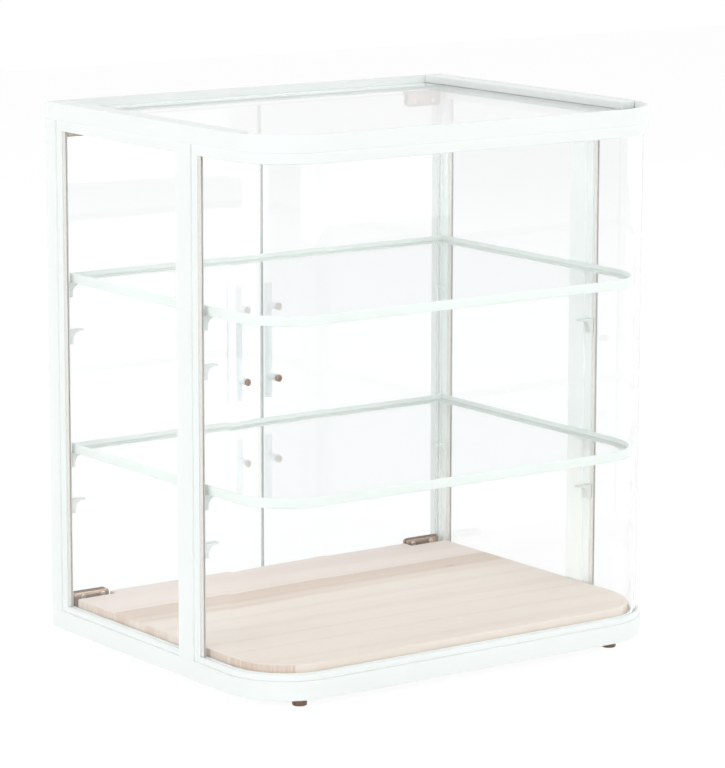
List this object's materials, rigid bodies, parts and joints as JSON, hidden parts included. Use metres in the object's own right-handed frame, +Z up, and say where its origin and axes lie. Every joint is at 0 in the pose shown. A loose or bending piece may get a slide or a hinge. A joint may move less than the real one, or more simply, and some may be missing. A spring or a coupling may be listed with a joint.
{
  "type": "counter-top display cabinet",
  "caption": "Counter-top glass display cabinet with rounded front corners, bent glass front, framed glass shelves, a wooden bottom board and hinged glass doors at the back.",
  "frame": {"origin": "on the counter, under the middle of the cabinet's box", "axes": "+Z up, front with the round corners towards -Y, rear doors towards +Y, +X to the right seen from the front"},
  "size_m": [0.646, 0.525, 0.72],
  "materials": {
    "powder_coat": "satin white powder coat",
    "door_pull": "satin white powder coat",
    "glass": "clear",
    "seal": "matt grey seal",
    "nickel": "polished nickel",
    "dark_screw": "browned steel",
    "foot": "moulded dark brown",
    "wood": "pale maple, matt lacquer"
  },
  "bodies": {
    "cabinet": {"base_frame": "powder_coat", "top_rim": "powder_coat", "base_channel_front": "powder_coat", "top_channel_front": "powder_coat", "base_channel_left": "powder_coat", "top_channel_left": "powder_coat", "post_front_left": "powder_coat", "post_rear_left": "powder_coat", "top_trim_left": "powder_coat", "bracket_front_left_1": "powder_coat", "bracket_rear_left_1": "powder_coat", "bracket_front_left_2": "powder_coat", "bracket_rear_left_2": "powder_coat", "bracket_front_left_3": "powder_coat", "bracket_rear_left_3": "powder_coat", "bracket_front_left_4": "powder_coat", "bracket_rear_left_4": "powder_coat", "base_channel_right": "powder_coat", "top_channel_right": "powder_coat", "post_front_right": "powder_coat", "post_rear_right": "powder_coat", "top_trim_right": "powder_coat", "bracket_front_right_1": "powder_coat", "bracket_rear_right_1": "powder_coat", "bracket_front_right_2": "powder_coat", "bracket_rear_right_2": "powder_coat", "bracket_front_right_3": "powder_coat", "bracket_rear_right_3": "powder_coat", "bracket_front_right_4": "powder_coat", "bracket_rear_right_4": "powder_coat", "shelf_frame_lower": "powder_coat", "shelf_frame_upper": "powder_coat", "glass_front": "glass", "glass_top": "glass", "glass_side_left": "glass", "glass_side_right": "glass", "shelf_glass_lower": "glass", "shelf_glass_upper": "glass", "gasket_front_left": "seal", "gasket_rear_left": "seal", "gasket_front_right": "seal", "gasket_rear_right": "seal", "foot_front_left": "foot", "foot_front_right": "foot", "foot_rear_left": "foot", "foot_rear_right": "foot", "bottom_board": "wood"},
    "left_door": {"door_glass_left": "glass", "door_clip_bottom_left": "nickel", "door_clip_top_left": "nickel", "door_handle_left": "door_pull", "handle_screw_left_1": "dark_screw", "handle_screw_left_2": "dark_screw"},
    "right_door": {"door_glass_right": "glass", "door_clip_bottom_right": "nickel", "door_clip_top_right": "nickel", "door_handle_right": "door_pull", "handle_screw_right_1": "dark_screw", "handle_screw_right_2": "dark_screw"}
  },
  "joints": [
    {"name": "left_door_hinge", "type": "hinge", "parent": "cabinet", "child": "left_door", "pos_m": [-0.296, 0.23, 0.367], "axis": [0, 0, 1], "range_deg": [0, 100]},
    {"name": "right_door_hinge", "type": "hinge", "parent": "cabinet", "child": "right_door", "pos_m": [0.296, 0.23, 0.367], "axis": [0, 0, -1], "range_deg": [0, 100]}
  ]
}
